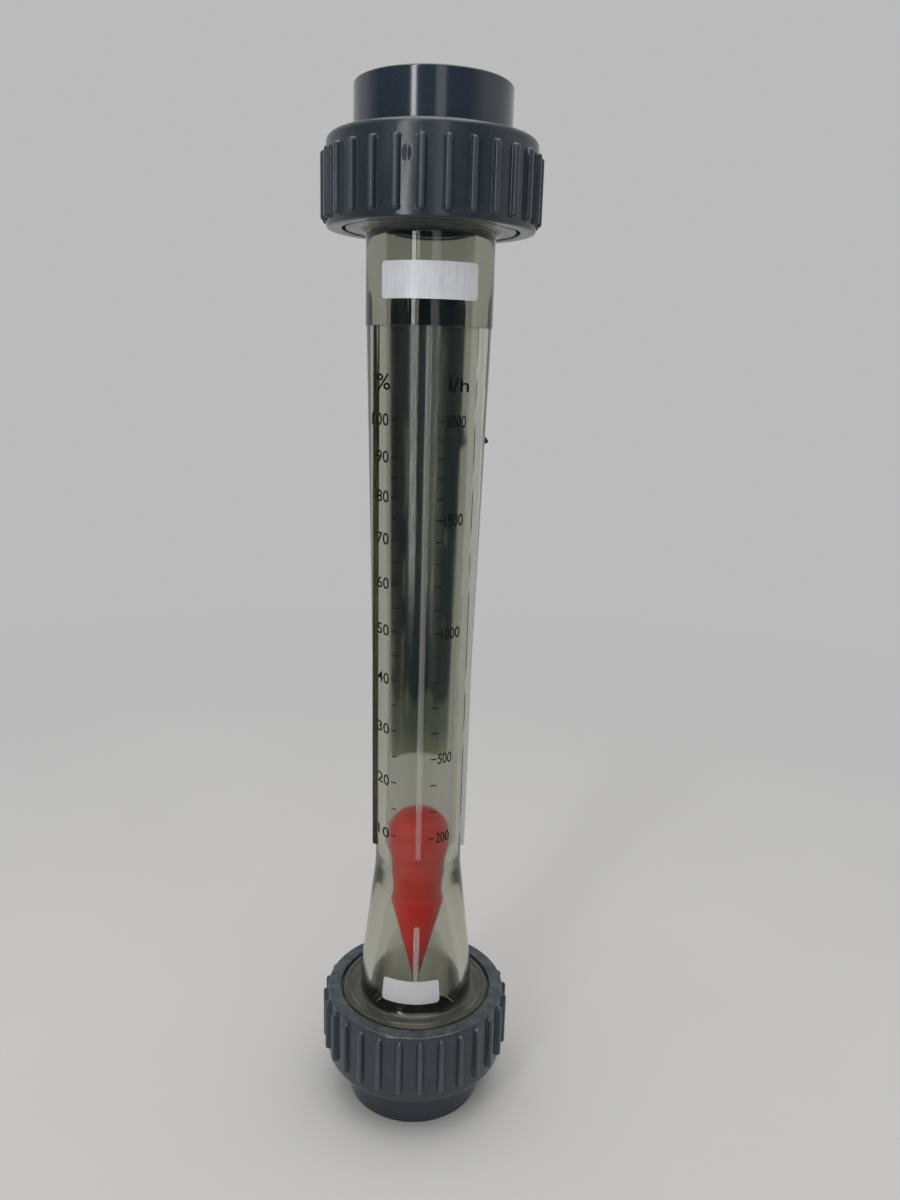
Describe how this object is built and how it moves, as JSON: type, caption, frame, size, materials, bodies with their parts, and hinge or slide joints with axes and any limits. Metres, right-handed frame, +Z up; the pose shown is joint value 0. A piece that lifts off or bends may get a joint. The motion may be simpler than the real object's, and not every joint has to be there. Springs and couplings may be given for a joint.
{
  "type": "rotameter",
  "caption": "Vertical variable-area flow meter: clear tapered measuring tube with a red float, held between ribbed plastic union nuts and pipe sockets.",
  "frame": {"origin": "on the tube's axis, in the plane of the lower connector's mouth, where the part stands", "axes": "+Z up along the flow; -Y is the front, the side with the scale"},
  "size_m": [0.083, 0.083, 0.422],
  "materials": {
    "clear_plastic": "clear moulded plastic, faint olive tint",
    "union_plastic": "glossy slate-grey rigid PVC",
    "nut_plastic": "satin slate-grey rigid PVC",
    "seal_rubber": "black rubber",
    "float_red": "red plastic",
    "weight_steel": "turned steel",
    "stop_plastic": "dark grey plastic",
    "label_silver": "silver-white film, bare",
    "label_white": "white film, bare",
    "strip_film": "dark slate film"
  },
  "bodies": {
    "tube_assembly": {"measuring_tube": "clear_plastic", "lower_end_connector": "union_plastic", "upper_end_connector": "union_plastic", "lower_seal_ring": "seal_rubber", "upper_seal_ring": "seal_rubber", "upper_float_stop": "stop_plastic", "upper_label": "label_silver", "lower_label": "label_white", "back_strip": "strip_film"},
    "float": {"float_shell": "float_red", "float_cap": "float_red", "float_weight": "weight_steel"},
    "lower_nut": {"lower_union_nut": "nut_plastic"},
    "upper_nut": {"upper_union_nut": "nut_plastic"}
  },
  "joints": [
    {"name": "float_rise", "type": "slide", "parent": "tube_assembly", "child": "float", "axis": [0, 0, 1], "range_m": [0, 0.2375]},
    {"name": "lower_nut_turn", "type": "hinge", "parent": "tube_assembly", "child": "lower_nut", "pos_m": [0, 0, 0.034], "axis": [0, 0, 1], "continuous": true},
    {"name": "upper_nut_turn", "type": "hinge", "parent": "tube_assembly", "child": "upper_nut", "pos_m": [0, 0, 0.388], "axis": [0, 0, 1], "continuous": true}
  ]
}
